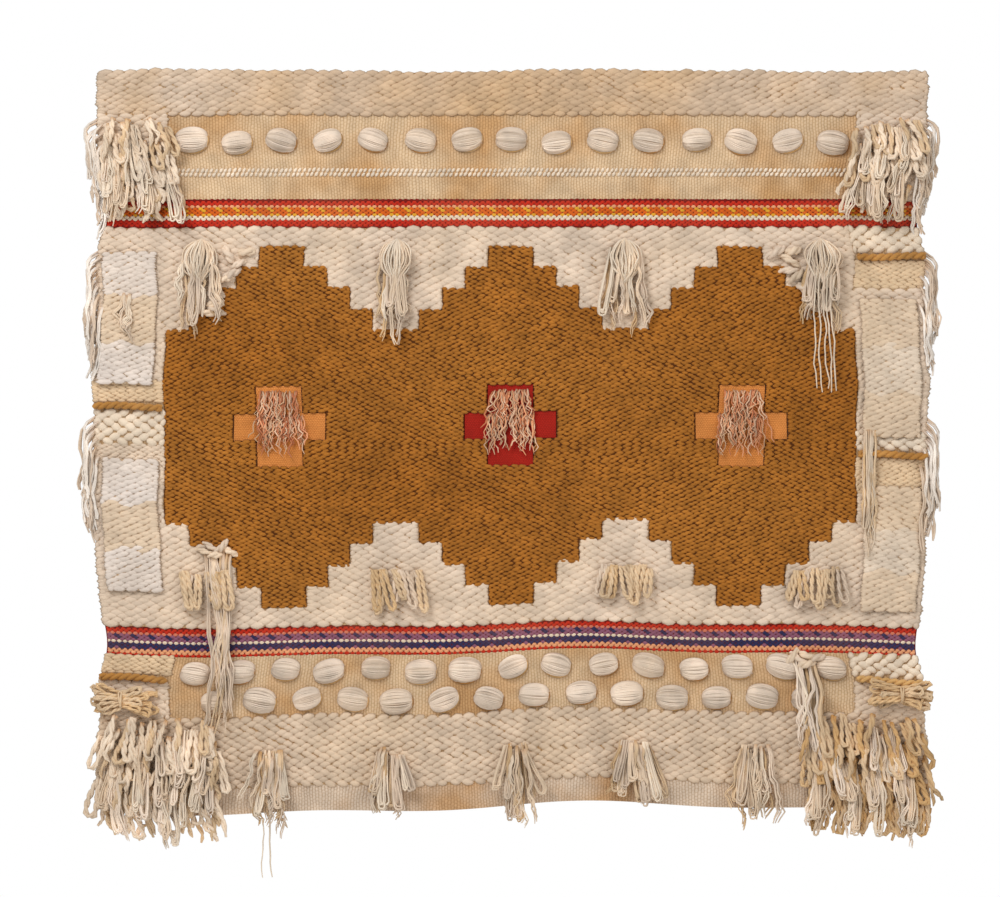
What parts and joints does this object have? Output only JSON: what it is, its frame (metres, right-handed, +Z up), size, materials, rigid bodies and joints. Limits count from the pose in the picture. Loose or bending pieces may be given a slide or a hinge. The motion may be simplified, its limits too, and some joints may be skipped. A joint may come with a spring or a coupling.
{
  "type": "woven tapestry wall hanging",
  "caption": "Large fringed wall hanging in chunky weave: a chain of stepped lozenges on a pale ground, striped bands, bobbles, tabs, tassels and side fringe.",
  "frame": {"origin": "middle of the cloth's top edge, on the flat back plane that lies against the wall", "axes": "+X across the cloth to the right as seen from the front, +Z up, and the front of the cloth faces -Y"},
  "size_m": [1.2457, 0.0496, 1.1727],
  "materials": {
    "cream_wool": "matte chunky weave",
    "brown_wool": "matte chunky weave",
    "band_stripes": "matte fine striped weave",
    "orange_linen": "matte fine plain weave",
    "red_wool": "matte fine plain weave",
    "frayed_peach": "matte frayed yarn",
    "bobble_cotton": "matte wound yarn",
    "tab_cotton": "matte chunky weave",
    "lock_roving": "matte soft roving",
    "tassel_cotton": "matte twisted yarn",
    "fringe_cotton": "matte twisted yarn",
    "loop_roving": "matte soft roving"
  },
  "bodies": {
    "root": {"woven_cloth": "cream_wool", "brown_field": "brown_wool", "stripe_band_upper": "band_stripes", "stripe_band_lower": "band_stripes", "window_left": "orange_linen", "tuft_left": "frayed_peach", "window_middle": "red_wool", "tuft_middle": "frayed_peach", "window_right": "orange_linen", "tuft_right": "frayed_peach", "bobble_row_top": "bobble_cotton", "bobble_row_middle": "bobble_cotton", "bobble_row_bottom": "bobble_cotton", "tab_left_upper": "tab_cotton", "tab_left_lower": "tab_cotton", "tab_right_upper": "tab_cotton", "tab_right_lower": "tab_cotton", "cluster_left": "lock_roving", "cluster_right": "lock_roving", "tassel_waist_1": "tassel_cotton", "tassel_waist_2": "tassel_cotton", "tassel_waist_3": "tassel_cotton", "tassel_waist_4": "tassel_cotton", "tassel_bottom_1": "tassel_cotton", "tassel_bottom_2": "tassel_cotton", "tassel_bottom_3": "tassel_cotton", "tassel_bottom_4": "tassel_cotton", "tassel_bottom_5": "tassel_cotton", "tassel_bottom_6": "tassel_cotton", "tassel_bottom_7": "tassel_cotton", "fringe_left_upper": "fringe_cotton", "fringe_left_middle": "fringe_cotton", "fringe_left_lower": "fringe_cotton", "fringe_right_upper": "fringe_cotton", "fringe_right_middle": "fringe_cotton", "fringe_right_lower": "fringe_cotton", "loops_1": "loop_roving", "loops_2": "loop_roving", "loops_3": "loop_roving", "loops_4": "loop_roving"}
  },
  "joints": []
}
